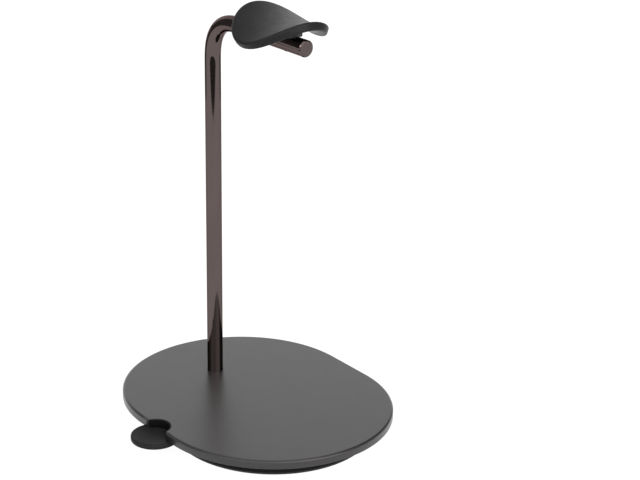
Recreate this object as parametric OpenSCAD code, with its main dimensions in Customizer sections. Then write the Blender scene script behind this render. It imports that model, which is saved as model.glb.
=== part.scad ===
// Headphone stand: a bent round post on a weighted obround base, with a soft curved saddle on the arm
// and a round cable rest at a notch in the plate. Origin: centre of the base on the table, +Z up,
// +X along the arm, the notch on the -Y side.

/* [Base plate] */
// Radius of the plate's round ends, half its width
plate_r = 67; // [64:0.1:72]
// Half the length of the straight part of each long side
plate_half = 15.5; // [12:0.1:22]
// Thickness of the plate
plate_t = 4.7; // [4.4:0.1:6]
// Height of the plate's top face above the table
plate_top = 13.9; // [13:0.1:15]
// Width of the bevel round the top edge
bevel_w = 1; // [0.5:0.1:1.5]
// Height of the bevel round the top edge
bevel_h = 0.8; // [0.4:0.1:1.2]

/* [Notch and cable rest] */
// Radius of the notch in the plate
notch_r = 9; // [8:0.1:10]
// How far the middle of the notch and the tab lies outside the plate's side
notch_out = 1; // [0:0.1:1.2]
// Radius of the rounded corners where the notch meets the side
notch_corner_r = 1.5; // [0.5:0.1:2]
// Thickness of the collar that lines the notch
collar_t = 0.8; // [0.6:0.1:1.2]
// How far the collar's rim lies below the plate's top face
collar_drop = 0.3; // [0.1:0.1:0.8]
// Radius of the round tab
rest_r = 13.2; // [12.5:0.1:14]
// Thickness of the tab and of its tongue
rest_t = 3; // [2.6:0.1:3.2]
// Depth of the shallow dish in the tab
dish_depth = 0.5; // [0.3:0.1:0.8]
// Radius of the dish's rim
dish_r = 11.6; // [11:0.1:11.9]
// Width of the tongue that runs in under the plate
tongue_w = 16; // [14:0.5:18]
// Length of the tongue from the middle of the tab
tongue_l = 30; // [28:0.5:32]

/* [Tray] */
// How far the tray is set in from the plate's edge
tray_inset = 10.5; // [10:0.5:13]
// Thickness of the tray's wall
tray_wall = 2.4; // [2:0.1:3]
// Thickness of the tray's floor
tray_floor = 1.4; // [1.2:0.1:1.6]
// Thickness of the non-slip pad
pad_t = 2.3; // [2:0.1:2.4]
// How deep the pad is let into the tray
pad_pocket = 0.8; // [0.5:0.1:1]
// Thickness of the steel weight
ballast_t = 4; // [3:0.1:4]

/* [Post] */
// Diameter of the round bar
bar_d = 9; // [8:0.1:10]
// Distance of the post from the middle of the base
post_offset = 40.9; // [36:0.1:45]
// Height of the arm's axis above the plate
arm_height = 209.1; // [180:0.1:230]
// Distance of the arm's end from the post's axis
arm_length = 83.6; // [80:0.1:90]
// Radius of the bend, to the bar's axis
bend_r = 20; // [16:0.5:28]
// Bevel at the arm's end
arm_bevel = 0.6; // [0.3:0.1:1]
// How deep the bar sits in the plate
seat_depth = 1.5; // [1:0.1:2]

/* [Saddle] */
// Half the saddle's length across the arm
saddle_half_len = 26; // [24:0.1:28]
// Half the saddle's width along the arm
saddle_half_wid = 23.4; // [20:0.1:24]
// Thickness of the saddle
saddle_t = 4.6; // [4:0.1:5]
// Height of the saddle's middle above the arm's axis
crown_height = 11.1; // [10.5:0.1:12]
// Radius of the upward curve along the arm
rise_r = 69; // [55:1:120]
// Radius of the downward curve across the arm
droop_r = 43.5; // [36:0.5:60]
// Slope of the saddle down towards the arm's end, in degrees
saddle_tilt = 2.8; // [1:0.1:3]
// Distance of the saddle's middle from the middle of the base
saddle_offset = 20.6; // [18:0.1:22]
// Rounding of the saddle's rim
rim_r = 1.1; // [0.6:0.1:1.6]
// Width of the soft rim round the stiff plate
rim_w = 5; // [4:0.5:7]
// Thickness of the stiff plate in the saddle
core_t = 2.2; // [1.8:0.1:2.4]
// Length of the spacer block along the arm
spacer_l = 28; // [27:0.1:31]
// Width of the spacer block
spacer_w = 9; // [8.8:0.1:10]

/* [Hidden] */
$fn = 96;
// overlap of cutting tools past the faces they cut
cut = 1;
// gap between parts that are fitted by hand
fit = 0.05;

plate_bottom = plate_top - plate_t;
notch_y = -plate_r - notch_out;
// middle of the notch's rounded corners, from the middle of the notch
corner_rise = notch_out + notch_corner_r;
corner_x = sqrt(pow(notch_r + notch_corner_r, 2) - pow(corner_rise, 2));
arm_z = plate_top + arm_height;
arm_end = arm_length - post_offset;
bar_r = bar_d / 2;

// spigot with two flats that passes through the plate
spigot_r = 3.6;
spigot_flats = 6.2;
spigot_gap = 0.2;

// M5 low-head bolt, plain washer and split washer under the post
bolt_r = 2.5;
bolt_l = 12;
bolt_head_r = 4.25;
bolt_head_h = 3.5;
bolt_socket_r = 1.75;
washer_r = 7.5;
washer_t = 1.2;
lock_r = 4.6;
lock_t = 1.2;
lock_slit = 0.8;
thread_spare = 1.6;

// M3 countersunk screws of the tray and the cable rest
m3_r = 1.5;
m3_clear_r = 1.6;
csk_head_r = 2.75;
csk_head_h = 1.65;
tray_screw_l = 10;
rest_screw_l = 6;
blind_spare = 0.3;
boss_r = 4;
tray_screw_spots = [
    [60, 0], [26, 42], [-26, 42], [-60, 0], [-26, -42], [26, -42]
];
rest_screw_x = 4.5;
rest_screw_y = 24.4;

// tray and what is in it
tray_r = plate_r - tray_inset;
tray_bottom = pad_t - pad_pocket;
tray_inner_r = tray_r - tray_wall;
floor_top = pad_t + tray_floor;
pad_margin = 0.8;
bolt_hole_r = 8;
ballast_gap = 1;
boss_gap = 1;
ballast_post_r = 13;
ballast_tongue_gap = 4;
foam_spots = [[40, 18], [40, -18], [-14, 30], [-14, -26]];
foam_r = 7;

// saddle screws, spacer and inserts, heights measured from the arm's axis
saddle_screw_spots = [-8, 8];
saddle_screw_l = 10;
saddle_head_r = 2.75;
saddle_head_h = 2;
counterbore_r = 2.9;
counterbore_floor = -1.8;
seat_flat = bar_r - 0.3;
boss_bottom = 5;
core_boss_r = 3.3;
insert_r = 2.1;
insert_l = 3.3;
insert_groove = 0.25;
socket_r = 1.15;
spacer_corner_r = 2;
spacer_top = 12;

// saddle mesh
leaf_steps = 60;
leaf_rings = [0.3, 0.6, 0.85];
rim_steps = 4;

// ---------- shared shapes ----------

// flat obround centred on the origin, straight sides along X
module obround(r, half) {
    for (side = [-1, 1]) translate([side * half, 0]) circle(r);
    square([2 * half, 2 * r], center = true);
}

// obround solid from z = 0 to h with a bevel round its top edge
module bevelled_obround(r, half, h, bw, bh) {
    for (side = [-1, 1]) translate([side * half, 0, 0])
        rotate_extrude($fn = 240)
            polygon([[0, 0], [r, 0], [r, h - bh], [r - bw, h], [0, h]]);
    rotate([90, 0, 90])
        linear_extrude(2 * half, center = true)
            polygon([[-r, 0], [r, 0], [r, h - bh], [r - bw, h], [bw - r, h], [-r, h - bh]]);
}

// rectangle centred on the origin with round corners
module rounded_rect(l, w, r) {
    square([l - 2 * r, w], center = true);
    square([l, w - 2 * r], center = true);
    for (sx = [-1, 1], sy = [-1, 1]) translate([sx * (l / 2 - r), sy * (w / 2 - r)]) circle(r);
}

// countersunk screw, head down at z = 0, shank upwards
module countersunk_screw(length) {
    difference() {
        rotate_extrude()
            polygon([[0, 0], [csk_head_r, 0], [m3_r, csk_head_h], [m3_r, length], [0, length]]);
        translate([0, 0, -cut]) cylinder(h = cut + 1, r = socket_r, $fn = 6);
    }
}

// hole for a countersunk screw, head side at z = 0
module countersunk_hole(depth) {
    translate([0, 0, -cut]) cylinder(h = depth + 2 * cut, r = m3_clear_r);
    cylinder(h = csk_head_h, r1 = csk_head_r, r2 = m3_r);
    translate([0, 0, -cut]) cylinder(h = cut, r = csk_head_r);
}

// cap screw with a hexagon socket, underside of the head at z = 0, shank upwards
module cap_screw(shank_r, length, head_r, head_h, hex_r) {
    difference() {
        union() {
            cylinder(h = length, r = shank_r);
            translate([0, 0, -head_h]) cylinder(h = head_h, r = head_r);
        }
        translate([0, 0, -head_h - cut]) cylinder(h = cut + head_h / 2, r = hex_r, $fn = 6);
    }
}

// ---------- base ----------

// outline of the spigot: a circle with two flats
module spigot_outline() {
    intersection() {
        circle(spigot_r);
        square([2 * spigot_r, spigot_flats], center = true);
    }
}

// outline cut from the plate's long side: half round, with rounded corners
module notch_outline() {
    circle(notch_r);
    for (side = [-1, 1]) difference() {
        polygon([[0, -cut], [side * corner_x, -cut], [side * corner_x, corner_rise], [0, 0]]);
        translate([side * corner_x, corner_rise]) circle(notch_corner_r);
    }
}

module base_plate() {
    color("#363636")
    difference() {
        translate([0, 0, plate_bottom])
            bevelled_obround(plate_r, plate_half, plate_t, bevel_w, bevel_h);
        translate([0, notch_y, plate_bottom - cut])
            linear_extrude(plate_t + 2 * cut) notch_outline();
        translate([-post_offset, 0, plate_top - seat_depth]) cylinder(h = seat_depth + cut, r = bar_r);
        translate([-post_offset, 0, plate_bottom - cut])
            linear_extrude(plate_t) spigot_outline();
        for (p = tray_screw_spots) translate([p[0], p[1], plate_bottom - cut])
            cylinder(h = pad_t + tray_screw_l + blind_spare - plate_bottom + cut, r = m3_r);
        for (side = [-1, 1])
            translate([side * rest_screw_x, notch_y + rest_screw_y, plate_bottom - cut])
                cylinder(h = rest_screw_l - rest_t + blind_spare + cut, r = m3_r);
    }
}

module base_housing() {
    color("#1c1c1c")
    difference() {
        union() {
            difference() {
                translate([0, 0, tray_bottom])
                    linear_extrude(plate_bottom - tray_bottom, $fn = 240) obround(tray_r, plate_half);
                translate([0, 0, floor_top])
                    linear_extrude(plate_bottom, $fn = 240) obround(tray_inner_r, plate_half);
            }
            for (p = tray_screw_spots) translate([p[0], p[1], pad_t])
                cylinder(h = plate_bottom - pad_t, r = boss_r);
        }
        translate([0, 0, tray_bottom - cut])
            linear_extrude(pad_pocket + cut, $fn = 240) obround(tray_r - pad_margin, plate_half);
        for (p = tray_screw_spots) translate([p[0], p[1], pad_t])
            countersunk_hole(plate_bottom - pad_t);
        translate([-post_offset, 0, tray_bottom]) cylinder(h = floor_top, r = bolt_hole_r);
        translate([-tongue_w / 2 - fit, notch_y, plate_bottom - rest_t - fit])
            cube([tongue_w + 2 * fit, tongue_l, rest_t + fit + cut]);
    }
}

module base_pad() {
    color("#101010")
    linear_extrude(pad_t, $fn = 240) obround(tray_r - pad_margin - fit, plate_half);
}

module ballast_plate() {
    color("#8a8c8f")
    translate([0, 0, floor_top])
    linear_extrude(ballast_t) difference() {
        obround(tray_inner_r - ballast_gap, plate_half, $fn = 240);
        for (p = tray_screw_spots) translate(p) circle(boss_r + boss_gap);
        translate([-post_offset, 0]) circle(ballast_post_r);
        translate([-tongue_w / 2 - ballast_tongue_gap, notch_y])
            square([tongue_w + 2 * ballast_tongue_gap, tongue_l + ballast_tongue_gap]);
    }
}

module ballast_pads() {
    color("#d8d8d4")
    for (p = foam_spots) translate([p[0], p[1], floor_top + ballast_t])
        cylinder(h = plate_bottom - floor_top - ballast_t, r = foam_r);
}

module housing_screws() {
    color("#4a4a4c")
    for (p = tray_screw_spots) translate([p[0], p[1], pad_t]) countersunk_screw(tray_screw_l);
}

// ---------- cable rest ----------

// round tab with a rounded edge, from z = 0 to rest_t, with a shallow dish that is flat in the middle
module rest_tab() {
    edge_r = 0.8;
    flat_cut = 0.04;
    arc_sag = dish_depth + flat_cut;
    arc_r = (pow(dish_r, 2) + pow(arc_sag, 2)) / (2 * arc_sag);
    rotate_extrude() difference() {
        union() {
            square([rest_r - edge_r, rest_t]);
            translate([0, edge_r]) square([rest_r, rest_t - 2 * edge_r]);
            for (z = [edge_r, rest_t - edge_r]) translate([rest_r - edge_r, z]) circle(edge_r, $fn = 48);
        }
        intersection() {
            translate([0, rest_t - arc_sag + arc_r]) circle(arc_r, $fn = 720);
            translate([0, rest_t - dish_depth]) square([rest_r, rest_t]);
        }
    }
}

module cable_rest() {
    // the collar stops where the notch's rounded corners begin
    collar_start = corner_rise * notch_r / (notch_r + notch_corner_r);
    tongue_start = notch_r + notch_corner_r;
    color("#161616")
    translate([0, notch_y, plate_bottom - rest_t])
    difference() {
        union() {
            rest_tab();
            translate([-tongue_w / 2, tongue_start, 0]) cube([tongue_w, tongue_l - tongue_start, rest_t]);
            intersection() {
                difference() {
                    translate([0, 0, rest_t - dish_depth])
                        cylinder(h = dish_depth + plate_t - collar_drop, r = notch_r);
                    cylinder(h = rest_t + plate_t, r = notch_r - collar_t);
                }
                translate([-notch_r, collar_start, 0]) cube([2 * notch_r, notch_r, rest_t + plate_t]);
            }
        }
        for (side = [-1, 1]) translate([side * rest_screw_x, rest_screw_y, 0])
            countersunk_hole(rest_t);
    }
}

module cable_rest_screws() {
    color("#4a4a4c")
    for (side = [-1, 1])
        translate([side * rest_screw_x, notch_y + rest_screw_y, plate_bottom - rest_t])
            countersunk_screw(rest_screw_l);
}

// ---------- post ----------

module post() {
    bend_z = arm_z - bend_r;
    bend_x = bend_r - post_offset;
    spigot_bottom = plate_bottom + spigot_gap;
    color("#5c5352")
    difference() {
        union() {
            translate([-post_offset, 0, plate_top - seat_depth])
                cylinder(h = bend_z - plate_top + seat_depth, r = bar_r);
            translate([-post_offset, 0, spigot_bottom])
                linear_extrude(plate_top - seat_depth - spigot_bottom) spigot_outline();
            translate([bend_x, 0, bend_z]) rotate([90, -90, 0])
                rotate_extrude(angle = 90, $fn = 192) translate([bend_r, 0]) rotate(90) circle(bar_r);
            translate([bend_x, 0, arm_z]) rotate([0, 90, 0])
                cylinder(h = arm_end - bend_x - arm_bevel, r = bar_r);
            translate([arm_end - arm_bevel, 0, arm_z]) rotate([0, 90, 0])
                cylinder(h = arm_bevel, r1 = bar_r, r2 = bar_r - arm_bevel);
        }
        // tapped hole for the bolt
        translate([-post_offset, 0, plate_bottom])
            cylinder(h = bolt_l + thread_spare, r = bolt_r);
        // flat seat for the spacer, with two counterbored screw holes
        translate([saddle_offset - spacer_l / 2, -bar_r, arm_z + seat_flat])
            cube([spacer_l, bar_d, bar_r]);
        for (dx = saddle_screw_spots) translate([saddle_offset + dx, 0, arm_z]) {
            cylinder(h = 3 * bar_d, r = m3_clear_r, center = true);
            translate([0, 0, counterbore_floor - bar_r])
                cylinder(h = bar_r, r = counterbore_r);
        }
    }
}

module post_bolt() {
    color("#3c3c3e")
    translate([-post_offset, 0, plate_bottom - washer_t - lock_t])
        cap_screw(bolt_r, bolt_l, bolt_head_r, bolt_head_h, bolt_socket_r);
}

module post_washer() {
    color("#9a9a9c")
    translate([-post_offset, 0, plate_bottom - washer_t]) difference() {
        cylinder(h = washer_t, r = washer_r);
        translate([0, 0, -cut]) cylinder(h = washer_t + 2 * cut, r = bolt_r + 4 * fit);
    }
}

module post_lock_washer() {
    color("#7c7c7e")
    translate([-post_offset, 0, plate_bottom - washer_t - lock_t]) difference() {
        cylinder(h = lock_t, r = lock_r);
        translate([0, 0, -cut]) cylinder(h = lock_t + 2 * cut, r = bolt_r + fit);
        translate([0, -lock_slit / 2, -cut]) cube([lock_r + cut, lock_slit, lock_t + 2 * cut]);
    }
}

// ---------- saddle ----------
// The saddle's skin curves up along the arm (X) and down across it (Y). Its frame has the middle of
// the skin at the origin. A point is named by its plan position and its depth below the skin.

function skin_height(x, y) = rise_r - sqrt(pow(rise_r, 2) - x * x) - droop_r + sqrt(pow(droop_r, 2) - y * y);

function skin_normal(x, y) =
    let (n = [-x / sqrt(pow(rise_r, 2) - x * x), y / sqrt(pow(droop_r, 2) - y * y), 1]) n / norm(n);

function below_skin(x, y, depth) = [x, y, skin_height(x, y)] - depth * skin_normal(x, y);

// distance from the middle to an elliptical outline, in the direction a
function leaf_radius(half_wid, half_len, a) =
    half_wid * half_len / sqrt(pow(half_len * cos(a), 2) + pow(half_wid * sin(a), 2));

// rings of the leaf's surface, each [share of the radius, inset from the outline, depth],
// from the middle of the top, round the rim, to the middle of the underside
function leaf_profile(top, bottom, r) = concat(
    [for (s = leaf_rings) [s, r * s, top]],
    [for (k = [0:rim_steps]) let (a = 90 * k / rim_steps) [1, r * (1 - sin(a)), top + r * (1 - cos(a))]],
    [for (k = [0:rim_steps]) let (a = 90 * k / rim_steps) [1, r * (1 - cos(a)), bottom - r * (1 - sin(a))]],
    [for (k = [len(leaf_rings) - 1:-1:0]) [leaf_rings[k], r * leaf_rings[k], bottom]]
);

// the same for a leaf with a sharp rim
function sharp_profile(top, bottom) = concat(
    [for (s = leaf_rings) [s, 0, top]],
    [[1, 0, top], [1, 0, bottom]],
    [for (k = [len(leaf_rings) - 1:-1:0]) [leaf_rings[k], 0, bottom]]
);

// closed leaf between two depths below the skin, with an elliptical outline
module leaf(half_wid, half_len, top, bottom, r) {
    n = leaf_steps;
    profile = r > 0 ? leaf_profile(top, bottom, r) : sharp_profile(top, bottom);
    rings = len(profile);
    points = concat(
        [below_skin(0, 0, top)],
        [for (p = profile, i = [0:n - 1])
            let (a = 360 * i / n, d = leaf_radius(half_wid, half_len, a) * p[0] - p[1])
            below_skin(d * cos(a), d * sin(a), p[2])],
        [below_skin(0, 0, bottom)]
    );
    last = len(points) - 1;
    faces = concat(
        [for (i = [0:n - 1]) [0, 1 + (i + 1) % n, 1 + i]],
        [for (j = [0:rings - 2], i = [0:n - 1])
            [1 + j * n + i, 1 + j * n + (i + 1) % n, 1 + (j + 1) * n + i]],
        [for (j = [0:rings - 2], i = [0:n - 1])
            [1 + j * n + (i + 1) % n, 1 + (j + 1) * n + (i + 1) % n, 1 + (j + 1) * n + i]],
        [for (i = [0:n - 1]) [last, 1 + (rings - 1) * n + i, 1 + (rings - 1) * n + (i + 1) % n]]
    );
    polyhedron(points, faces);
}

// places the saddle's frame over the arm
module on_saddle() {
    translate([saddle_offset, 0, arm_z + crown_height]) rotate([0, saddle_tilt, 0]) children();
}

// the stiff plate's shape, or a cutter for it, from a given depth down to the underside
module core_leaf(top, bottom, gap) {
    leaf(saddle_half_wid - rim_w + gap, saddle_half_len - rim_w + gap, top, bottom, 0);
}

module saddle_cover() {
    color("#2a2a2a")
    on_saddle() difference() {
        leaf(saddle_half_wid, saddle_half_len, 0, saddle_t, rim_r);
        core_leaf(saddle_t - core_t, saddle_t + 2 * cut, fit);
    }
}

module saddle_core() {
    color("#202020")
    difference() {
        union() {
            on_saddle() core_leaf(saddle_t - core_t, saddle_t, 0);
            for (dx = saddle_screw_spots) translate([saddle_offset + dx, 0, arm_z + boss_bottom])
                cylinder(h = crown_height - saddle_t + core_t / 2 - boss_bottom, r = core_boss_r);
        }
        for (dx = saddle_screw_spots) translate([saddle_offset + dx, 0, arm_z + boss_bottom - cut])
            cylinder(h = insert_l + cut, r = insert_r);
    }
}

module saddle_inserts() {
    color("#b8923f")
    for (dx = saddle_screw_spots) translate([saddle_offset + dx, 0, arm_z + boss_bottom])
        rotate_extrude() polygon([
            [m3_r, 0], [insert_r, 0], [insert_r, 0.4 * insert_l],
            [insert_r - insert_groove, 0.45 * insert_l], [insert_r - insert_groove, 0.55 * insert_l],
            [insert_r, 0.6 * insert_l], [insert_r, insert_l], [m3_r, insert_l]
        ]);
}

module saddle_spacer() {
    color("#141414")
    difference() {
        translate([saddle_offset, 0, arm_z + seat_flat])
            linear_extrude(spacer_top - seat_flat) rounded_rect(spacer_l, spacer_w, spacer_corner_r);
        on_saddle() core_leaf(-2 * crown_height, saddle_t, 0);
        for (dx = saddle_screw_spots) translate([saddle_offset + dx, 0, arm_z + boss_bottom]) {
            cylinder(h = crown_height, r = core_boss_r + fit);
            cylinder(h = 2 * crown_height, r = m3_clear_r, center = true);
        }
    }
}

module saddle_screws() {
    color("#3c3c3e")
    for (dx = saddle_screw_spots) translate([saddle_offset + dx, 0, arm_z + counterbore_floor])
        cap_screw(m3_r, saddle_screw_l, saddle_head_r, saddle_head_h, socket_r);
}

base_plate();
base_housing();
base_pad();
ballast_plate();
ballast_pads();
housing_screws();
cable_rest();
cable_rest_screws();
post();
post_bolt();
post_washer();
post_lock_washer();
saddle_cover();
saddle_core();
saddle_inserts();
saddle_spacer();
saddle_screws();
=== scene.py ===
"""Looks of the headphone stand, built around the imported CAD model. Metres, in the CAD frame:
origin at the middle of the base on the table, +Z up, +X along the arm, the notch on the -Y side."""

from math import asin, atan2, cos, degrees, pi, radians, sin, sqrt, tan

import bmesh
import bpy
from mathutils import Matrix, Vector
from mathutils.geometry import tessellate_polygon
from mathutils.kdtree import KDTree


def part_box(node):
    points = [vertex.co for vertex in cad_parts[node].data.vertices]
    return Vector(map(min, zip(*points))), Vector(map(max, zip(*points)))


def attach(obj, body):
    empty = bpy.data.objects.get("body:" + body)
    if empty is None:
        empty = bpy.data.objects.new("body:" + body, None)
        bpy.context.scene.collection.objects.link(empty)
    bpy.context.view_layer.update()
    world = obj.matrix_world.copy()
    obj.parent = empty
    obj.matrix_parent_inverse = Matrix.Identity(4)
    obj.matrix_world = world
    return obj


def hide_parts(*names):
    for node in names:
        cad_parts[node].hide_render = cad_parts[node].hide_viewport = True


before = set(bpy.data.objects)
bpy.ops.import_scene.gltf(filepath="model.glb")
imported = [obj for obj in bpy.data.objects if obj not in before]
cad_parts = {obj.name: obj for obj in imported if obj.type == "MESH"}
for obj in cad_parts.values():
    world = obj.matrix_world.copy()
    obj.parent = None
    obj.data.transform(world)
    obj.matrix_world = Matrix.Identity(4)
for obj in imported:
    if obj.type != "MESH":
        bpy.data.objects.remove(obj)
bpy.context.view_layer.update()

MM = 0.001
SAME_PLACE = 1e-4 * MM
SHARP_EDGE = radians(35)

# ---------- places read from the frame ----------

plate_low, plate_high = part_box("base_plate")
PLATE_R = plate_high.y
PLATE_HALF = plate_high.x - PLATE_R
PLATE_TOP = plate_high.z
PLATE_BOTTOM = plate_low.z

rest_low, rest_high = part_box("cable_rest")
REST_R = rest_high.x
REST_BOTTOM = rest_low.z
REST_TOP = PLATE_BOTTOM
REST_Y = rest_low.y + REST_R
COLLAR_TOP = rest_high.z
TONGUE_END = rest_high.y

post_low, post_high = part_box("post")
BAR_R = 4.5 * MM
POST_X = post_low.x + BAR_R
ARM_Z = post_high.z - BAR_R
ARM_END = post_high.x
SPIGOT_BOTTOM = post_low.z

spacer_low, spacer_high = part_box("saddle_spacer")
SADDLE_X = (spacer_low.x + spacer_high.x) / 2
SPACER_L = spacer_high.x - spacer_low.x
SPACER_W = spacer_high.y - spacer_low.y
SPACER_BOTTOM = spacer_low.z

screws_low, screws_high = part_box("saddle_screws")
SCREW_HEAD_R = screws_high.y
SCREW_XS = (screws_low.x + SCREW_HEAD_R, screws_high.x - SCREW_HEAD_R)

# ---------- sizes of the details ----------

BEVEL_W = 1.0 * MM
BEVEL_H = 0.8 * MM
BEVEL_EDGE_R = 0.2 * MM
FACET_W = 0.2 * MM          # narrow facet at the bevel's lower edge
FACET_H = 0.5 * MM
EDGE_R = 0.2 * MM
NOTCH_R = 9 * MM
NOTCH_CORNER_R = 1.5 * MM
CORNER_Y = NOTCH_CORNER_R - PLATE_R
CORNER_X = sqrt((NOTCH_R + NOTCH_CORNER_R) ** 2 - (CORNER_Y - REST_Y) ** 2)
CORNER_LEAN = degrees(atan2(CORNER_Y - REST_Y, CORNER_X))
NOTCH_BREAK = 0.25          # share of the bevel that is left along the notch
SEAT_DEPTH = 1.5 * MM
SEAT_BREAK = 0.12 * MM      # broken edge of the post's seat
SPIGOT_R = 3.6 * MM
SPIGOT_FLATS = 6.2 * MM
BOLT_R = 2.5 * MM
BOLT_DEPTH = 13.6 * MM
SCREW_HOLE_R = 1.5 * MM
TRAY_HOLE_DEPTH = 3.4 * MM
REST_HOLE_DEPTH = 3.3 * MM
TRAY_HOLES = ((60, 0), (26, 42), (-26, 42), (-60, 0), (-26, -42), (26, -42))
REST_HOLE_X = 4.5 * MM
REST_HOLE_Y = 24.4 * MM

REST_EDGE_R = 0.8 * MM
COLLAR_T = 0.8 * MM
COLLAR_LIP_R = 0.25 * MM
COLLAR_SHADE_START = 0.05 * MM    # from this far above the tab up, the collar gets a darker copy of the plastic: painted shade of the notch
DISH_R = 11.6 * MM
DISH_DEPTH = 0.5 * MM
TONGUE_W = 16 * MM
SINK_R = 2.75 * MM
SINK_DEPTH = 1.55 * MM

BEND_R = 20 * MM
BEND_EASE = 14 * MM
ARM_BEVEL = 0.6 * MM
ARM_BEVEL_R = 0.2 * MM
SEAT_FLAT = 4.2 * MM
COUNTERBORE_R = 2.9 * MM
COUNTERBORE_FLOOR = 1.8 * MM
CLEARANCE_R = 1.6 * MM

SADDLE_HALF_LEN = 26 * MM
SADDLE_HALF_WID = 23.4 * MM
SADDLE_T = 4.6 * MM
CROWN_HEIGHT = 11.1 * MM
RISE_R = 69 * MM
DROOP_R = 43.5 * MM
SADDLE_TILT = radians(2.8)
RIM_R = 1.1 * MM
RIM_W = 5 * MM
CORE_T = 2.2 * MM
CORE_EDGE = 0.15 * MM
POCKET_LIP_R = 0.3 * MM
POCKET_GAP = 0.05 * MM
BOSS_R = 3.3 * MM
BOSS_BOTTOM = 5 * MM
INSERT_R = 2.1 * MM
INSERT_L = 3.3 * MM
SPACER_CORNER_R = 2 * MM


# ---------- mesh tools ----------

def arc(centre, radius, start, end, steps):
    """Points on a circle from one angle to another, in degrees, both ends included."""
    return [
        (centre[0] + radius * cos(radians(start + (end - start) * i / steps)),
         centre[1] + radius * sin(radians(start + (end - start) * i / steps)))
        for i in range(steps + 1)
    ]


def rounded(corners, steps=5):
    """A 2D line through corners (x, y, radius), each corner rounded with its radius."""
    line = []
    for i, (x, y, radius) in enumerate(corners):
        if radius == 0 or i in (0, len(corners) - 1):
            line.append((x, y))
            continue
        here = Vector((x, y))
        back = (Vector(corners[i - 1][:2]) - here).normalized()
        ahead = (Vector(corners[i + 1][:2]) - here).normalized()
        half = back.angle(ahead) / 2
        reach = radius / tan(half)
        centre = here + (back + ahead).normalized() * (radius / sin(half))
        first = here + back * reach - centre
        turn = (here + ahead * reach - centre).angle_signed(first)
        for k in range(steps + 1):
            swing = Matrix.Rotation(turn * k / steps, 2)
            line.append(tuple(centre + swing @ first))
    return line


class Shell:
    """Vertices and faces of one closed surface, made from rings of points."""

    def __init__(self):
        self.points = []
        self.faces = []

    def ring(self, points):
        start = len(self.points)
        self.points += [Vector(p) for p in points]
        return list(range(start, len(self.points)))

    def rings(self, all_points):
        """Adds rings, one after the other, and the faces between them."""
        made = [self.ring(points) for points in all_points]
        for below, above in zip(made, made[1:]):
            self.band(below, above)
        return made

    def band(self, below, above):
        """Faces between two rings. A ring may also be a single point."""
        n = max(len(below), len(above))
        for i in range(n):
            k = (i + 1) % n
            if len(below) == 1:
                self.faces.append((below[0], above[k], above[i]))
            elif len(above) == 1:
                self.faces.append((below[i], below[k], above[0]))
            else:
                self.faces.append((below[i], below[k], above[k], above[i]))

    def fan(self, ring, tip):
        self.band(ring, self.ring([tip]))

    def fill(self, *loops):
        """Flat face between an outer loop and the holes in it."""
        order = [i for loop in loops for i in loop]
        triangles = tessellate_polygon([[self.points[i] for i in loop] for loop in loops])
        self.faces += [tuple(order[k] for k in t) for t in triangles]

    def revolve(self, profile, centre, steps):
        """Turns a profile of (radius, z), whose ends may be on the axis, about an upright axis."""
        rows = []
        for radius, z in profile:
            row = [(*centre, z)]
            if radius > SAME_PLACE:
                row = [(x, y, z) for x, y in arc(centre, radius, 0, 360, steps)[:-1]]
            rows.append(row)
        return self.rings(rows)

    def mesh(self, name):
        made = bpy.data.meshes.new(name)
        made.from_pydata(self.points, [], self.faces)
        orient(made)
        return made


def orient(mesh):
    """Joins points that lie on each other and turns all faces outwards."""
    bm = bmesh.new()
    bm.from_mesh(mesh)
    bmesh.ops.remove_doubles(bm, verts=bm.verts, dist=SAME_PLACE)
    bmesh.ops.recalc_face_normals(bm, faces=bm.faces)
    bm.to_mesh(mesh)
    bm.free()


def scratch(mesh):
    """An unlinked helper object that holds a mesh, for a boolean."""
    helper = bpy.data.objects.new(mesh.name, mesh)
    bpy.context.scene.collection.objects.link(helper)
    return helper


def combine(mesh, steps):
    """Applies (operation, Shell) steps to a mesh, one after the other."""
    helper = scratch(mesh)
    tools = []
    for i, (operation, shell) in enumerate(steps):
        tool = scratch(shell.mesh(f"tool{i}"))
        tools.append(tool)
        modifier = helper.modifiers.new(f"cut{i}", "BOOLEAN")
        modifier.operation = operation
        modifier.solver = "EXACT"
        modifier.object = tool
    bpy.context.view_layer.update()
    evaluated = helper.evaluated_get(bpy.context.evaluated_depsgraph_get())
    result = bpy.data.meshes.new_from_object(evaluated)
    for o in [helper, *tools]:
        bpy.data.objects.remove(o)
    return result


def column(outline, low, high):
    """Closed upright solid with a flat outline of (x, y) points."""
    shell = Shell()
    bottom, top = shell.rings([[(x, y, z) for x, y in outline] for z in (low, high)])
    shell.fill(bottom)
    shell.fill(top)
    return shell


def pin(x, y, radius, low, high, steps=64):
    """Closed upright cylinder."""
    shell = Shell()
    shell.revolve([(0, low), (radius, low), (radius, high), (0, high)], (x, y), steps)
    return shell


def piece(name, mesh, node, materials):
    """Shows a mesh in place of a CAD node."""
    obj = bpy.data.objects.new(name, mesh)
    bpy.context.scene.collection.objects.link(obj)
    mesh.shade_smooth()
    mesh.set_sharp_from_angle(angle=SHARP_EDGE)
    for material in materials:
        mesh.materials.append(material)
    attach(obj, "root")
    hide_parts(node)


# ---------- materials ----------

FLOOR_WHITE_SHARE = 0.75    # share of plain white in the floor, as the camera sees it


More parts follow.
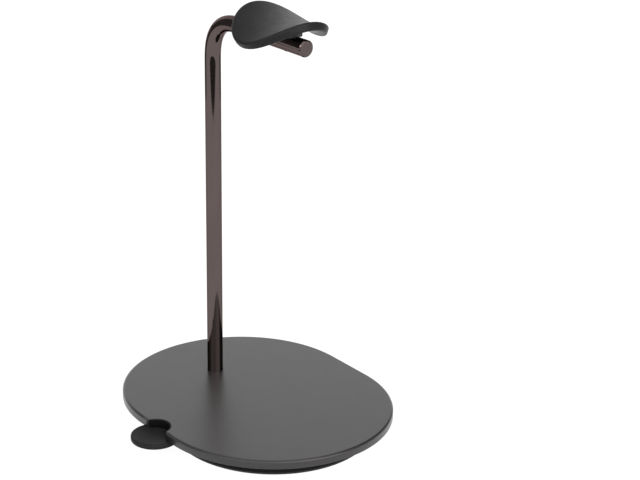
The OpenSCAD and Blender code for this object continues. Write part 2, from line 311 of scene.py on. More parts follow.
class Nodes:
    """A new node material and short ways to add to it."""

    def __init__(self, name):
        self.material = bpy.data.materials.new(name)
        self.material.use_nodes = True
        self.tree = self.material.node_tree
        self.shader = self.tree.nodes["Principled BSDF"]
        self.place = self.add("ShaderNodeTexCoord").outputs["Object"]

    def add(self, kind, **settings):
        node = self.tree.nodes.new(kind)
        for key, value in settings.items():
            setattr(node, key, value)
        return node

    def link(self, source, target):
        self.tree.links.new(source, target)

    def fixed(self, socket, value):
        """Sets a socket that is the same all over the surface."""
        self.shader.inputs[socket].default_value = value

    def noise(self, size, detail=4, stretch=(1, 1, 1)):
        """Noise whose features are about size metres."""
        mapping = self.add("ShaderNodeMapping")
        mapping.inputs["Scale"].default_value = stretch
        self.link(self.place, mapping.inputs["Vector"])
        texture = self.add("ShaderNodeTexNoise")
        texture.inputs["Scale"].default_value = 1 / size
        texture.inputs["Detail"].default_value = detail
        texture.inputs["Roughness"].default_value = 0.55
        self.link(mapping.outputs["Vector"], texture.inputs["Vector"])
        return texture.outputs["Fac"]

    def grains(self, size):
        """Cells about size metres across, as in a moulded grain."""
        texture = self.add("ShaderNodeTexVoronoi", feature="SMOOTH_F1")
        texture.inputs["Scale"].default_value = 1 / size
        self.link(self.place, texture.inputs["Vector"])
        return texture.outputs["Distance"]

    def spread(self, factor, low, high, target):
        """Maps a factor's middle part onto low to high, into a socket."""
        mapped = self.add("ShaderNodeMapRange")
        mapped.inputs["From Min"].default_value = 0.3
        mapped.inputs["From Max"].default_value = 0.7
        mapped.inputs["To Min"].default_value = low
        mapped.inputs["To Max"].default_value = high
        self.link(factor, mapped.inputs["Value"])
        self.link(mapped.outputs["Result"], target)

    def tint(self, factor, dark, light):
        """Colours the surface between two tones by a factor."""
        ramp = self.add("ShaderNodeValToRGB")
        ramp.color_ramp.elements[0].position = 0.3
        ramp.color_ramp.elements[0].color = (*dark, 1)
        ramp.color_ramp.elements[1].position = 0.7
        ramp.color_ramp.elements[1].color = (*light, 1)
        self.link(factor, ramp.inputs["Fac"])
        self.link(ramp.outputs["Color"], self.shader.inputs["Base Color"])

    def bump(self, height, depth, strength=1.0):
        """Adds relief, depth in metres, on top of what is there."""
        node = self.add("ShaderNodeBump")
        node.inputs["Strength"].default_value = strength
        node.inputs["Distance"].default_value = depth
        self.link(height, node.inputs["Height"])
        socket = self.shader.inputs["Normal"]
        if socket.is_linked:
            self.link(socket.links[0].from_socket, node.inputs["Normal"])
        self.link(node.outputs["Normal"], socket)


def satin_paint():
    """Satin dark grey coat of the plate, with a very fine orange peel."""
    m = Nodes("satin_paint")
    m.tint(m.noise(0.8 * MM, 5), (0.0080, 0.0072, 0.0072), (0.0105, 0.0096, 0.0096))
    m.spread(m.noise(14 * MM, 3), 0.33, 0.36, m.shader.inputs["Roughness"])
    m.bump(m.noise(0.5 * MM, 2), 0.0015 * MM, 0.5)
    m.bump(m.noise(2.2 * MM, 2), 0.003 * MM, 0.3)
    m.fixed("IOR", 1.5)
    m.fixed("Specular Tint", (1.0, 0.975, 0.985, 1))
    return m.material


def dark_nickel():
    """Polished dark plating of the bar: brownish, with faint polishing lines along it."""
    m = Nodes("dark_nickel")
    m.tint(m.noise(9 * MM, 3, (1, 1, 0.3)), (0.083, 0.065, 0.063), (0.090, 0.071, 0.068))
    m.spread(m.noise(1.2 * MM, 5), 0.05, 0.085, m.shader.inputs["Roughness"])
    m.bump(m.noise(0.5 * MM, 4, (1, 1, 0.15)), 0.0008 * MM, 0.25)
    m.fixed("Metallic", 1.0)
    m.fixed("Specular Tint", (0.5, 0.47, 0.47, 1))
    return m.material


def turned_nickel(centre):
    """The same plating on the bar's turned end: fine rings about its middle."""
    m = Nodes("turned_nickel")
    m.tint(m.noise(1.5 * MM, 4), (0.080, 0.063, 0.063), (0.094, 0.075, 0.075))
    offset = m.add("ShaderNodeVectorMath", operation="SUBTRACT")
    offset.inputs[1].default_value = centre
    m.link(m.place, offset.inputs[0])
    flat = m.add("ShaderNodeVectorMath", operation="MULTIPLY")
    flat.inputs[1].default_value = (0, 1, 1)
    m.link(offset.outputs["Vector"], flat.inputs[0])
    rings = m.add("ShaderNodeTexWave", wave_type="RINGS", rings_direction="SPHERICAL")
    rings.inputs["Scale"].default_value = 1 / (1.6 * MM)
    rings.inputs["Distortion"].default_value = 0.4
    m.link(flat.outputs["Vector"], rings.inputs["Vector"])
    m.spread(rings.outputs["Fac"], 0.26, 0.36, m.shader.inputs["Roughness"])
    m.bump(rings.outputs["Fac"], 0.004 * MM, 0.5)
    m.fixed("Metallic", 1.0)
    m.fixed("Specular Tint", (0.4, 0.36, 0.36, 1))
    return m.material


def silicone():
    """Matte black skin of the saddle with a very fine grain."""
    m = Nodes("silicone")
    m.tint(m.noise(1.1 * MM, 6), (0.0070, 0.0068, 0.0068), (0.0105, 0.0102, 0.0102))
    m.spread(m.noise(5 * MM, 4), 0.42, 0.50, m.shader.inputs["Roughness"])
    m.bump(m.grains(0.32 * MM), 0.012 * MM, 0.5)
    m.bump(m.noise(0.15 * MM, 2), 0.006 * MM, 0.4)
    m.fixed("IOR", 1.21)
    return m.material


def moulded_black(name, tone, low, high, ior=1.5):
    """Black moulded plastic: a fine spark-eroded grain and slight differences in gloss."""
    m = Nodes(name)
    m.tint(m.noise(0.9 * MM, 5), (0.8 * tone,) * 3, (1.2 * tone,) * 3)
    m.spread(m.noise(4 * MM, 4), low, high, m.shader.inputs["Roughness"])
    m.bump(m.grains(0.25 * MM), 0.006 * MM, 0.35)
    m.fixed("IOR", ior)
    return m.material


def soft_black():
    """Dull black rubber sheet of the foot pad."""
    m = Nodes("soft_black")
    m.tint(m.noise(0.8 * MM, 6), (0.006,) * 3, (0.011,) * 3)
    m.spread(m.noise(3 * MM, 4), 0.78, 0.92, m.shader.inputs["Roughness"])
    m.bump(m.noise(0.3 * MM, 5), 0.03 * MM, 0.5)
    return m.material


def plain_metal(name, dark, light, low, high):
    """Plated or blackened steel, or brass, between two tones and two degrees of roughness."""
    m = Nodes(name)
    m.tint(m.noise(2 * MM, 5), dark, light)
    m.spread(m.noise(0.7 * MM, 5), low, high, m.shader.inputs["Roughness"])
    m.bump(m.noise(0.4 * MM, 4), 0.004 * MM, 0.4)
    m.fixed("Metallic", 1.0)
    return m.material


def open_foam():
    """Pale cellular foam of the pads between the weight and the plate."""
    m = Nodes("open_foam")
    m.tint(m.noise(0.8 * MM, 5), (0.55, 0.55, 0.52), (0.75, 0.75, 0.71))
    m.spread(m.noise(2 * MM, 4), 0.85, 0.98, m.shader.inputs["Roughness"])
    m.bump(m.grains(0.5 * MM), 0.15 * MM, 0.8)
    return m.material


def pale_floor():
    """White sweep with a trace of unevenness."""
    m = Nodes("pale_floor")
    m.tint(m.noise(120 * MM, 3), (0.40, 0.40, 0.40), (0.42, 0.42, 0.42))
    m.spread(m.noise(40 * MM, 3), 0.85, 0.95, m.shader.inputs["Roughness"])
    m.fixed("Specular IOR Level", 0.1)
    m.fixed("Emission Color", (1, 1, 1, 1))
    m.fixed("Emission Strength", 0.8)
    # seen directly it is mostly plain white, and it is clear from underneath
    white = m.add("ShaderNodeEmission")
    share = m.add("ShaderNodeMath", operation="MULTIPLY")
    share.inputs[1].default_value = FLOOR_WHITE_SHARE
    m.link(m.add("ShaderNodeLightPath").outputs["Is Camera Ray"], share.inputs[0])
    above = m.add("ShaderNodeMixShader")
    m.link(share.outputs["Value"], above.inputs["Fac"])
    m.link(m.shader.outputs["BSDF"], above.inputs[1])
    m.link(white.outputs["Emission"], above.inputs[2])
    clear = m.add("ShaderNodeBsdfTransparent")
    choice = m.add("ShaderNodeMixShader")
    m.link(m.add("ShaderNodeNewGeometry").outputs["Backfacing"], choice.inputs["Fac"])
    m.link(above.outputs["Shader"], choice.inputs[1])
    m.link(clear.outputs["BSDF"], choice.inputs[2])
    m.link(choice.outputs["Shader"], m.tree.nodes["Material Output"].inputs["Surface"])
    return m.material


def felt(name, tone):
    """Felt of the studio flags."""
    m = Nodes(name)
    m.tint(m.noise(20 * MM, 4), (0.87 * tone,) * 3, (1.13 * tone,) * 3)
    m.fixed("Roughness", 1.0)
    m.fixed("Specular IOR Level", 0.0)
    return m.material


PAINT = satin_paint()
NICKEL = dark_nickel()
TURNED = turned_nickel((ARM_END, 0, ARM_Z))
SKIN = silicone()
CORE_PLASTIC = moulded_black("core_plastic", 0.02, 0.45, 0.55)
BLOCK_PLASTIC = moulded_black("block_plastic", 0.004, 0.38, 0.46)
REST_PLASTIC = moulded_black("rest_plastic", 0.012, 0.42, 0.50, 1.14)
# the rest's plastic again, darker: painted shade on the collar, which stands in the notch under the
# plate
COLLAR_SHADED_PLASTIC = moulded_black("collar_painted_shade", 0.003, 0.42, 0.50, 1.14)
TRAY_PLASTIC = moulded_black("tray_plastic", 0.003, 0.42, 0.52, 1.17)
PAD_RUBBER = soft_black()
SCREW_STEEL = plain_metal("screw_steel", (0.09, 0.09, 0.095), (0.14, 0.14, 0.145), 0.3, 0.42)
WASHER_STEEL = plain_metal("washer_steel", (0.42, 0.42, 0.43), (0.55, 0.55, 0.56), 0.25, 0.38)
WEIGHT_STEEL = plain_metal("weight_steel", (0.25, 0.25, 0.26), (0.36, 0.36, 0.37), 0.35, 0.5)
BRASS = plain_metal("brass", (0.55, 0.38, 0.13), (0.70, 0.50, 0.20), 0.22, 0.35)
FOAM = open_foam()

CARRIED_OVER = {
    "base_housing": TRAY_PLASTIC,
    "base_pad": PAD_RUBBER,
    "ballast_plate": WEIGHT_STEEL,
    "ballast_pads": FOAM,
    "housing_screws": SCREW_STEEL,
    "cable_rest_screws": SCREW_STEEL,
    "post_bolt": SCREW_STEEL,
    "post_washer": WASHER_STEEL,
    "post_lock_washer": WASHER_STEEL,
    "saddle_inserts": BRASS,
    "saddle_screws": SCREW_STEEL,
}
for node_name, node_material in CARRIED_OVER.items():
    for material_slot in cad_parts[node_name].material_slots:
        material_slot.material = node_material


# ---------- base ----------

def plate_outline():
    """The plate's outline, against the clock from its right end, as (point, outward normal,
    share of the bevel). A hollow stretch has a negative radius."""
    lean = CORNER_LEAN
    cut = NOTCH_BREAK
    stretches = (
        ((PLATE_HALF, 0), PLATE_R, -90, 90, 160, (1, 1)),
        ((-PLATE_HALF, 0), PLATE_R, 90, 270, 160, (1, 1)),
        ((-CORNER_X, CORNER_Y), NOTCH_CORNER_R, -90, -lean, 12, (1, cut)),
        ((0, REST_Y), -NOTCH_R, -lean, lean - 180, 64, (cut, cut)),
        ((CORNER_X, CORNER_Y), NOTCH_CORNER_R, lean - 180, -90, 12, (cut, 1)),
    )
    line = []
    for centre, radius, start, end, steps, (first, last) in stretches:
        for i in range(steps + 1):
            a = radians(start + (end - start) * i / steps)
            out = Vector((cos(a), sin(a)))
            point = Vector(centre) + out * radius
            if not line or (point - line[-1][0]).length > SAME_PLACE:
                line.append((point, out, first + (last - first) * i / steps))
    return line


def spigot_outline():
    """A circle with two flats, round the post's axis."""
    flat_angle = degrees(asin(SPIGOT_FLATS / 2 / SPIGOT_R))
    line = []
    for start in (-flat_angle, 180 - flat_angle):
        line += arc((POST_X, 0), SPIGOT_R, start, start + 2 * flat_angle, 24)
    return line


def base_plate():
    """Bevelled plate with the notch, the post's seat and blind holes for the screws."""
    outline = plate_outline()
    lower = rounded([(4 * EDGE_R, 0, 0), (0, 0, EDGE_R), (0, 2 * EDGE_R, 0)])
    upper = rounded([
        (0, -2 * BEVEL_H, 0), (0, -BEVEL_H - FACET_H / 2, BEVEL_EDGE_R),
        (FACET_W, -BEVEL_H + FACET_H / 2, BEVEL_EDGE_R), (BEVEL_W, 0, BEVEL_EDGE_R),
        (2.5 * BEVEL_W, 0, 0)])
    rows = [[(*(p - out * inset), PLATE_BOTTOM + z) for p, out, share in outline] for inset, z in lower]
    # the bevel shrinks along the notch
    rows += [[(*(p - out * inset * share), PLATE_TOP + z * share) for p, out, share in outline]
             for inset, z in upper]
    shell = Shell()
    made = shell.rings(rows)

    seat_floor = PLATE_TOP - SEAT_DEPTH
    seat = shell.revolve(
        [(BAR_R + SEAT_BREAK, PLATE_TOP), (BAR_R, PLATE_TOP - SEAT_BREAK), (BAR_R, seat_floor)],
        (POST_X, 0), 96)
    through = shell.rings(
        [[(x, y, z) for x, y in spigot_outline()] for z in (seat_floor, PLATE_BOTTOM)])
    shell.fill(seat[-1], through[0])
    shell.fill(made[-1], seat[0])

    holes = [(x * MM, y * MM, TRAY_HOLE_DEPTH) for x, y in TRAY_HOLES]
    holes += [(side * REST_HOLE_X, REST_Y + REST_HOLE_Y, REST_HOLE_DEPTH) for side in (-1, 1)]
    mouths = []
    for x, y, depth in holes:
        hole_end = PLATE_BOTTOM + depth
        drilled = shell.revolve(
            [(SCREW_HOLE_R, PLATE_BOTTOM), (SCREW_HOLE_R, hole_end), (0, hole_end)], (x, y), 32)
        mouths.append(drilled[0])
    shell.fill(made[0], through[1], *mouths)
    piece("top_plate", shell.mesh("top_plate"), "base_plate", [PAINT])


def rest_tab():
    """Round tab with a rounded edge and a shallow dish."""
    sag_r = (DISH_R ** 2 + DISH_DEPTH ** 2) / (2 * DISH_DEPTH)
    profile = rounded([
        (0, REST_BOTTOM, 0), (REST_R, REST_BOTTOM, REST_EDGE_R), (REST_R, REST_TOP, REST_EDGE_R),
        (DISH_R, REST_TOP, 0)], 8)
    dish_steps = 40
    for k in range(1, dish_steps + 1):
        radius = DISH_R * (1 - k / dish_steps)
        profile.append((radius, REST_TOP - DISH_DEPTH + sag_r - sqrt(sag_r ** 2 - radius ** 2)))
    tab = Shell()
    tab.revolve(profile, (0, REST_Y), 192)
    return tab


def rest_collar():
    """Thin wall that lines the notch, with a rounded lip."""
    root = REST_TOP - 1.5 * DISH_DEPTH
    section = rounded([
        (NOTCH_R, root, 0), (NOTCH_R, COLLAR_TOP, COLLAR_LIP_R),
        (NOTCH_R - COLLAR_T, COLLAR_TOP, COLLAR_LIP_R), (NOTCH_R - COLLAR_T, root, 0)], 4)
    steps = 96
    rows = []
    for i in range(steps + 1):
        a = radians(CORNER_LEAN + (180 - 2 * CORNER_LEAN) * i / steps)
        rows.append([(r * cos(a), REST_Y + r * sin(a), z) for r, z in section])
    collar = Shell()
    made = collar.rings(rows)
    collar.faces += [tuple(made[0]), tuple(made[-1])]
    return collar


def rest_tongue():
    """Flat strip that runs in under the plate."""
    start = REST_Y + NOTCH_R + NOTCH_CORNER_R
    half = TONGUE_W / 2
    outline = [(-half, start), (half, start), (half, TONGUE_END), (-half, TONGUE_END)]
    return column(outline, REST_BOTTOM, REST_TOP)


def cable_rest():
    """Tab, collar and tongue in one piece, with two countersunk holes in the tongue."""
    steps_list = [("UNION", rest_collar()), ("UNION", rest_tongue())]
    for side in (-1, 1):
        sink = Shell()
        sink.revolve([
            (0, REST_BOTTOM - MM), (SINK_R, REST_BOTTOM - MM), (SINK_R, REST_BOTTOM),
            (CLEARANCE_R, REST_BOTTOM + SINK_DEPTH), (CLEARANCE_R, REST_TOP + MM), (0, REST_TOP + MM)],
            (side * REST_HOLE_X, REST_Y + REST_HOLE_Y), 48)
        steps_list.append(("DIFFERENCE", sink))
    mesh = combine(rest_tab().mesh("cable_tab"), steps_list)
    piece("cable_tab", mesh, "cable_rest", [REST_PLASTIC, COLLAR_SHADED_PLASTIC])
    # the collar's faces get the darker copy of the plastic: painted shade in the notch
    for polygon in mesh.polygons:
        if polygon.center.z > REST_TOP + COLLAR_SHADE_START:
            polygon.material_index = 1


# ---------- post ----------

def bend_line():
    """The bend's centreline as (point, lean from upright). A cold bend eases in and out, so its
    curvature rises and falls over a short length; the middle lies where a plain arc's would."""
    # the easing shifts the arc by BEND_EASE ** 2 / (24 * radius); this radius makes up for it
    radius = (BEND_R + sqrt(BEND_R ** 2 - (BEND_EASE ** 2) * (2 + sqrt(2)) / 6)) / 2
    length = radius * pi / 2 + BEND_EASE
    steps = 240
    step = length / steps
    point = Vector((0, 0, 0))
    lean = 0
    line = [(point.copy(), lean)]
    for k in range(steps):
        s = (k + 0.5) * step
        share = min(1, s / BEND_EASE, (length - s) / BEND_EASE)
        turn = share * step / radius
        point += Vector((sin(lean + turn / 2), 0, cos(lean + turn / 2))) * step
        lean += turn
        line.append((point.copy(), lean))
    start = Vector((POST_X, 0, ARM_Z - point.z))
    return [(start + p, lean) for p, lean in line]


BEND_LINE = bend_line()
BEND_START = BEND_LINE[0][0]
BEND_END = BEND_LINE[-1][0]
BEND_TREE = KDTree(len(BEND_LINE))
for number, (point, lean) in enumerate(BEND_LINE):
    BEND_TREE.insert(point, number)
BEND_TREE.balance()


def bar_axis(p):
    """The point of the bar's centreline beside p."""
    if p.z <= BEND_START.z:
        return Vector((POST_X, 0, p.z))
    if p.x >= BEND_END.x:
        return Vector((p.x, 0, ARM_Z))
    point, lean = BEND_LINE[BEND_TREE.find((p.x, 0, p.z))[1]]
    along = Vector((sin(lean), 0, cos(lean)))
    return point + along * along.dot(p - point)


def bar_rings():
    """Rings of the bar from its seat in the plate to the arm's bevelled end."""
    around, upright_steps, arm_steps = 144, 40, 20
    stations = []
    low = Vector((POST_X, 0, PLATE_TOP - SEAT_DEPTH))
    for k in range(upright_steps):
        stations.append((low.lerp(BEND_START, k / upright_steps), 0, BAR_R))
    for middle, lean in BEND_LINE[::2]:
        stations.append((middle, lean, BAR_R))
    end = ARM_END - ARM_BEVEL
    for k in range(1, arm_steps + 1):
        stations.append((BEND_END.lerp(Vector((end, 0, ARM_Z)), k / arm_steps), pi / 2, BAR_R))
    bevel = rounded([
        (-0.5 * ARM_BEVEL, 0, 0), (0, 0, ARM_BEVEL_R), (ARM_BEVEL, ARM_BEVEL, ARM_BEVEL_R),
        (ARM_BEVEL, 3 * ARM_BEVEL, 0)], 4)
    for x, inset in bevel[1:-1]:
        stations.append((Vector((end + x, 0, ARM_Z)), pi / 2, BAR_R - inset))
    rows = []
    side = Vector((0, 1, 0))
    turns = [2 * pi * i / around for i in range(around)]
    for middle, lean, radius in stations:
        across = Vector((cos(lean), 0, -sin(lean)))
        rows.append([middle + (across * cos(a) + side * sin(a)) * radius for a in turns])
    return rows


def post():
    """Bent bar with a flatted spigot, a flat under the block and two stepped screw holes."""
    shell = Shell()
    made = shell.rings(bar_rings())
    shell.fan(made[0], (POST_X, 0, PLATE_TOP - SEAT_DEPTH))
    shell.fan(made[-1], (ARM_END, 0, ARM_Z))

    half = SPACER_L / 2
    seat = column([(SADDLE_X - half, -2 * BAR_R), (SADDLE_X + half, -2 * BAR_R),
                   (SADDLE_X + half, 2 * BAR_R), (SADDLE_X - half, 2 * BAR_R)],
                  ARM_Z + SEAT_FLAT, ARM_Z + 2 * BAR_R)
    steps_list = [
        ("UNION", column(spigot_outline(), SPIGOT_BOTTOM, PLATE_TOP - SEAT_DEPTH / 2)),
        ("DIFFERENCE", pin(POST_X, 0, BOLT_R, PLATE_BOTTOM - MM, PLATE_BOTTOM + BOLT_DEPTH)),
        ("DIFFERENCE", seat),
    ]
    for x in SCREW_XS:
        steps_list.append(("DIFFERENCE", pin(x, 0, CLEARANCE_R, ARM_Z - 2 * BAR_R, ARM_Z + 2 * BAR_R)))
        steps_list.append(("DIFFERENCE", pin(
            x, 0, COUNTERBORE_R, ARM_Z - 2 * BAR_R, ARM_Z - COUNTERBORE_FLOOR, 96)))
    mesh = combine(shell.mesh("bent_bar"), steps_list)
    piece("bent_bar", mesh, "post", [NICKEL, TURNED])
    # the turned end has its own finish
    for polygon in mesh.polygons:
        if polygon.normal.x > 0.99 and polygon.center.x > ARM_END - 0.5 * ARM_BEVEL:
            polygon.material_index = 1
    # the round surface gets the exact normals of a bent bar
    normals = []
    for polygon in mesh.polygons:
        for i in polygon.loop_indices:
            p = mesh.vertices[mesh.loops[i].vertex_index].co
            out = p - bar_axis(p)
            is_round = out.length > 0.98 * BAR_R and out.normalized().dot(polygon.normal) > 0.98
            normals.append(out.normalized() if is_round else polygon.normal.copy())
    mesh.normals_split_custom_set(normals)


# ---------- saddle ----------

def skin_height(x, y):
    """Height over the crown: the skin rises along the arm and droops across it."""
    return RISE_R - sqrt(RISE_R ** 2 - x * x) - DROOP_R + sqrt(DROOP_R ** 2 - y * y)


def below_skin(x, y, depth):
    """The point at a depth below the skin, in the saddle's own frame."""
    normal = Vector((-x / sqrt(RISE_R ** 2 - x * x), y / sqrt(DROOP_R ** 2 - y * y), 1)).normalized()
    return Vector((x, y, skin_height(x, y))) - normal * depth


CROWN = Matrix.Translation((SADDLE_X, 0, ARM_Z + CROWN_HEIGHT))
ON_SADDLE = CROWN @ Matrix.Rotation(SADDLE_TILT, 4, "Y")


def leaf_ring(half_wid, half_len, share, inset, depth):
    """A ring of the leaf at a share of its outline, moved in by inset, at a depth below the skin."""
    steps = 240
    points = []
    for i in range(steps):
        a = 2 * pi * i / steps
        reach = half_wid * half_len / sqrt((half_len * cos(a)) ** 2 + (half_wid * sin(a)) ** 2)
        d = reach * share - inset
        points.append(ON_SADDLE @ below_skin(d * cos(a), d * sin(a), depth))
    return points


def saddle_cover():
    """Soft skin with a rolled rim and, underneath, the pocket that holds the stiff plate."""
    top_steps, rim_steps, lip_steps, pocket_steps = 28, 10, 4, 12
    quarter = [radians(90 * k / rim_steps) for k in range(rim_steps + 1)]
    wid, length, r = SADDLE_HALF_WID, SADDLE_HALF_LEN, RIM_R
    rows = [leaf_ring(wid, length, s / top_steps, r * s / top_steps, 0) for s in range(1, top_steps)]
    rows += [leaf_ring(wid, length, 1, r * (1 - sin(a)), r * (1 - cos(a))) for a in quarter]
    rows += [leaf_ring(wid, length, 1, r * (1 - cos(a)), SADDLE_T - r * (1 - sin(a))) for a in quarter]
    wid, length, r = wid - RIM_W + POCKET_GAP, length - RIM_W + POCKET_GAP, POCKET_LIP_R
    rows.append(leaf_ring(wid, length, 1, -3 * r, SADDLE_T))
    for k in range(lip_steps + 1):
        a = radians(90 * k / lip_steps)
        rows.append(leaf_ring(wid, length, 1, -r * (1 - sin(a)), SADDLE_T - r * (1 - cos(a))))
    for s in range(pocket_steps, 0, -1):
        rows.append(leaf_ring(wid, length, s / pocket_steps, 0, SADDLE_T - CORE_T))
    shell = Shell()
    made = shell.rings(rows)
    shell.fan(made[0], ON_SADDLE @ below_skin(0, 0, 0))
    shell.fan(made[-1], ON_SADDLE @ below_skin(0, 0, SADDLE_T - CORE_T))
    piece("saddle_skin", shell.mesh("saddle_skin"), "saddle_cover", [SKIN])


def core_shell(top, bottom, edge=CORE_EDGE):
    """The stiff plate's closed shape between two depths, with a broken lower edge."""
    steps = 16
    wid, length = SADDLE_HALF_WID - RIM_W, SADDLE_HALF_LEN - RIM_W
    rows = [leaf_ring(wid, length, s / steps, 0, top) for s in range(1, steps + 1)]
    rows.append(leaf_ring(wid, length, 1, 0, bottom - edge))
    rows += [leaf_ring(wid, length, s / steps, edge * s / steps, bottom) for s in range(steps, 0, -1)]
    shell = Shell()
    made = shell.rings(rows)
    shell.fan(made[0], ON_SADDLE @ below_skin(0, 0, top))
    shell.fan(made[-1], ON_SADDLE @ below_skin(0, 0, bottom))
    return shell


def saddle_core():
    """Stiff plate with two bosses for the threaded inserts."""
    steps_list = []
    for x in SCREW_XS:
        boss_top = ARM_Z + CROWN_HEIGHT - SADDLE_T + CORE_T / 2
        steps_list.append(("UNION", pin(x, 0, BOSS_R, ARM_Z + BOSS_BOTTOM, boss_top)))
    for x in SCREW_XS:
        steps_list.append(("DIFFERENCE", pin(x, 0, INSERT_R, ARM_Z, ARM_Z + BOSS_BOTTOM + INSERT_L)))
    mesh = combine(core_shell(SADDLE_T - CORE_T, SADDLE_T).mesh("saddle_plate"), steps_list)
    piece("saddle_plate", mesh, "saddle_core", [CORE_PLASTIC])


def saddle_spacer():
    """The block between the arm and the saddle: a rounded oblong whose top follows the stiff plate."""
    reach_x = SPACER_L / 2 - SPACER_CORNER_R
    reach_y = SPACER_W / 2 - SPACER_CORNER_R
    outline = []
    for sx, sy, start in ((1, -1, -90), (1, 1, 0), (-1, 1, 90), (-1, -1, 180)):
        centre = (SADDLE_X + sx * reach_x, sy * reach_y)
        outline += arc(centre, SPACER_CORNER_R, start, start + 90, 12)
    block = column(outline, SPACER_BOTTOM, ARM_Z + CROWN_HEIGHT + MM)
    steps_list = [("DIFFERENCE", core_shell(-2 * CROWN_HEIGHT, SADDLE_T, edge=0))]
    for x in SCREW_XS:
        steps_list.append(("DIFFERENCE", pin(
            x, 0, BOSS_R + POCKET_GAP, ARM_Z + BOSS_BOTTOM, ARM_Z + 2 * CROWN_HEIGHT)))
        steps_list.append(("DIFFERENCE", pin(x, 0, CLEARANCE_R, ARM_Z, ARM_Z + 2 * CROWN_HEIGHT)))
    mesh = combine(block.mesh("spacer_block"), steps_list)
    piece("spacer_block", mesh, "saddle_spacer", [BLOCK_PLASTIC])


base_plate()
cable_rest()
post()
saddle_cover()
saddle_core()
saddle_spacer()

# ---------- stage, camera and light ----------

CAMERA_TARGET = Vector((-23.0, 12.4, 96.9)) * MM
CAMERA_DISTANCE = 976.3 * MM
CAMERA_AZIMUTH = radians(54.39)
CAMERA_ELEVATION = radians(21.09)
CAMERA_LENS = 98.01
CAMERA_SHIFT = 0.1086
TOWARDS_CAMERA = Vector((sin(CAMERA_AZIMUTH), -cos(CAMERA_AZIMUTH), 0))
LEFT_OF_CAMERA = Vector((TOWARDS_CAMERA.y, -TOWARDS_CAMERA.x, 0))

# levels of the light behind the stand and in front of it, by the sine of its height
BACK_SKY = (
    (-1, 0.6), (-0.02, 0.6), (0.02, 1.6), (0.32, 1.65), (0.43, 1.25), (0.62, 1.15), (0.72, 0.6),
    (0.86, 0.6), (0.95, 1.6))
FRONT_SKY = (
    (-1, 0.6), (-0.02, 0.6), (0.02, 0.9), (0.26, 1.0), (0.32, 4.9), (0.5, 4.9), (0.6, 1.0),
    (0.88, 1.0), (0.95, 1.5))
FRONT_SHARE = ((-0.2, 0), (0.2, 1))
# the dim zones at the sides: how dim by the cosine of the angle from the camera's heading, and
# how high they reach
SIDES = ((-0.74, 0), (-0.64, 1), (-0.2, 1), (-0.05, 0.8), (0.35, 0.8), (0.5, 0))
LEFT_HEIGHT = ((-0.05, 0), (0.0, 1), (0.58, 1), (0.66, 0))
RIGHT_HEIGHT = ((-0.05, 0), (0.0, 1), (0.84, 1), (0.92, 0))
LEFT_SHARE = ((-0.2, 0), (0.2, 1))
SIDES_LEVEL = 0.2
# a large lamp in front, to the camera's right
LAMP_TURN = radians(42)
LAMP_HEIGHT = radians(30)
LAMP_HEADING = Matrix.Rotation(LAMP_TURN, 3, "Z") @ TOWARDS_CAMERA
LAMP_AXIS = LAMP_HEADING * cos(LAMP_HEIGHT) + Vector((0, 0, sin(LAMP_HEIGHT)))
LAMP_SPREAD = ((0.86, 0), (0.93, 1))
LAMP_LEVEL = 5.6

FLOOR_REACH = 4.0
FLOOR_GAP = 0.02 * MM
# black cards: turn from the camera's heading, distance from the post, width and height
FLAGS = {
    "flag_front": (0, 0.553, 1.8, 0.12),
    "flag_left": (radians(-117), 0.6, 0.30, 0.46),
    "flag_right": (radians(123), 0.6, 0.28, 0.46),
}


def camera():
    """The photo's own view of the stand."""
    data = bpy.data.cameras.new("camera")
    data.sensor_width = 36
    data.lens = CAMERA_LENS
    data.shift_x = CAMERA_SHIFT
    obj = bpy.data.objects.new("camera", data)
    back = TOWARDS_CAMERA * cos(CAMERA_ELEVATION) + Vector((0, 0, sin(CAMERA_ELEVATION)))
    obj.location = CAMERA_TARGET + back * CAMERA_DISTANCE
    obj.rotation_mode = "QUATERNION"
    obj.rotation_quaternion = (-back).to_track_quat("-Z", "Y")
    bpy.context.scene.collection.objects.link(obj)
    bpy.context.scene.camera = obj


def stage_piece(name, points, faces, material):
    mesh = bpy.data.meshes.new(name)
    mesh.from_pydata(points, [], faces)
    mesh.materials.append(material)
    obj = bpy.data.objects.new(name, mesh)
    bpy.context.scene.collection.objects.link(obj)
    return obj


def floor():
    """White sheet a hair below the pad, so that the two never meet."""
    corners = ((-1, -1), (1, -1), (1, 1), (-1, 1))
    points = [(x * FLOOR_REACH, y * FLOOR_REACH, -FLOOR_GAP) for x, y in corners]
    stage_piece("floor", points, [(0, 1, 2, 3)], pale_floor())


def flag(name, turn, distance, width, height, material):
    """A card on the floor round the post. It is seen only in reflections."""
    away = Matrix.Rotation(turn, 3, "Z") @ TOWARDS_CAMERA
    across = Vector((-away.y, away.x, 0))
    middle = Vector((POST_X, 0, 0)) + away * distance
    points = [middle - across * width / 2, middle + across * width / 2]
    points += [p + Vector((0, 0, height)) for p in reversed(points)]
    obj = stage_piece(name, points, [(0, 1, 2, 3)], material)
    obj.visible_camera = False
    obj.visible_diffuse = False
    obj.visible_shadow = False


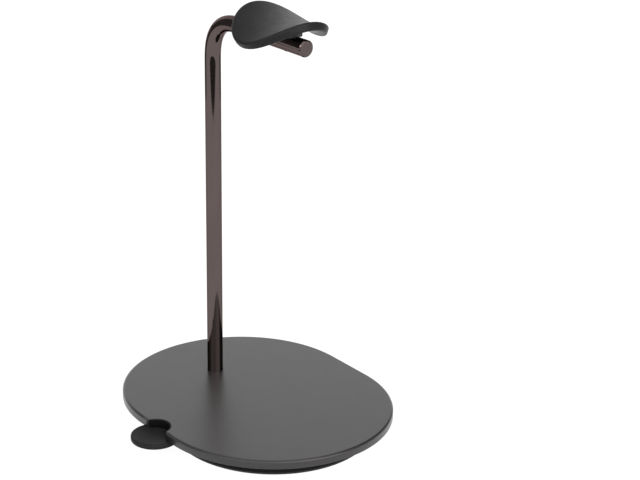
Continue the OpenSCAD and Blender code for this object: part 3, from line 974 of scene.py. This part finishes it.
def studio_light():
    """Soft light all round: dim low down at both sides, stronger in front and straight above.
    The camera itself sees plain white."""
    world = bpy.data.worlds.new("studio")
    bpy.context.scene.world = world
    world.use_nodes = True
    tree = world.node_tree
    tree.nodes.clear()
    link = tree.links.new

    def add(kind, **settings):
        node = tree.nodes.new(kind)
        for key, value in settings.items():
            setattr(node, key, value)
        return node

    def ramp(factor, stops):
        """A grey level by a factor from -1 to 1."""
        mapped = add("ShaderNodeMapRange")
        mapped.inputs["From Min"].default_value = -1
        link(factor, mapped.inputs["Value"])
        node = add("ShaderNodeValToRGB")
        node.color_ramp.elements.remove(node.color_ramp.elements[1])
        for i, (place, level) in enumerate(stops):
            position = (place + 1) / 2
            element = node.color_ramp.elements[0] if i == 0 else node.color_ramp.elements.new(position)
            element.position = position
            element.color = (level, level, level, 1)
        link(mapped.outputs["Result"], node.inputs["Fac"])
        return node.outputs["Color"]

    def dot(vector, axis):
        node = add("ShaderNodeVectorMath", operation="DOT_PRODUCT")
        node.inputs[1].default_value = axis
        link(vector, node.inputs[0])
        return node.outputs["Value"]

    def mixed(factor, a, b):
        node = add("ShaderNodeMix", data_type="RGBA")
        link(factor, node.inputs["Factor"])
        for socket, value in ((node.inputs["A"], a), (node.inputs["B"], b)):
            if isinstance(value, float):
                socket.default_value = (value, value, value, 1)
            else:
                link(value, socket)
        return node.outputs["Result"]

    direction = add("ShaderNodeTexCoord").outputs["Generated"]
    flat = add("ShaderNodeVectorMath", operation="MULTIPLY")
    flat.inputs[1].default_value = (1, 1, 0)
    link(direction, flat.inputs[0])
    heading = add("ShaderNodeVectorMath", operation="NORMALIZE")
    link(flat.outputs["Vector"], heading.inputs[0])
    facing = dot(heading.outputs["Vector"], TOWARDS_CAMERA)
    lift = dot(direction, (0, 0, 1))

    level = mixed(ramp(facing, FRONT_SHARE), ramp(lift, BACK_SKY), ramp(lift, FRONT_SKY))
    side = ramp(facing, SIDES)
    turn = dot(heading.outputs["Vector"], LEFT_OF_CAMERA)
    low = mixed(ramp(turn, LEFT_SHARE), ramp(lift, RIGHT_HEIGHT), ramp(lift, LEFT_HEIGHT))
    dim = mixed(low, 0.0, side)
    level = mixed(dim, level, SIDES_LEVEL)
    lamp = ramp(dot(direction, LAMP_AXIS), LAMP_SPREAD)
    level = mixed(lamp, level, LAMP_LEVEL)

    lit = add("ShaderNodeBackground")
    link(level, lit.inputs["Color"])
    seen = add("ShaderNodeBackground")
    seen.inputs["Color"].default_value = (1, 1, 1, 1)
    path = add("ShaderNodeLightPath")
    choice = add("ShaderNodeMixShader")
    link(path.outputs["Is Camera Ray"], choice.inputs["Fac"])
    link(lit.outputs["Background"], choice.inputs[1])
    link(seen.outputs["Background"], choice.inputs[2])
    output = add("ShaderNodeOutputWorld")
    link(choice.outputs["Shader"], output.inputs["Surface"])


camera()
floor()
FELT = felt("black_felt", 0.115)
for flag_name, flag_size in FLAGS.items():
    flag(flag_name, *flag_size, FELT)
studio_light()
bpy.context.scene.view_settings.view_transform = "Standard"
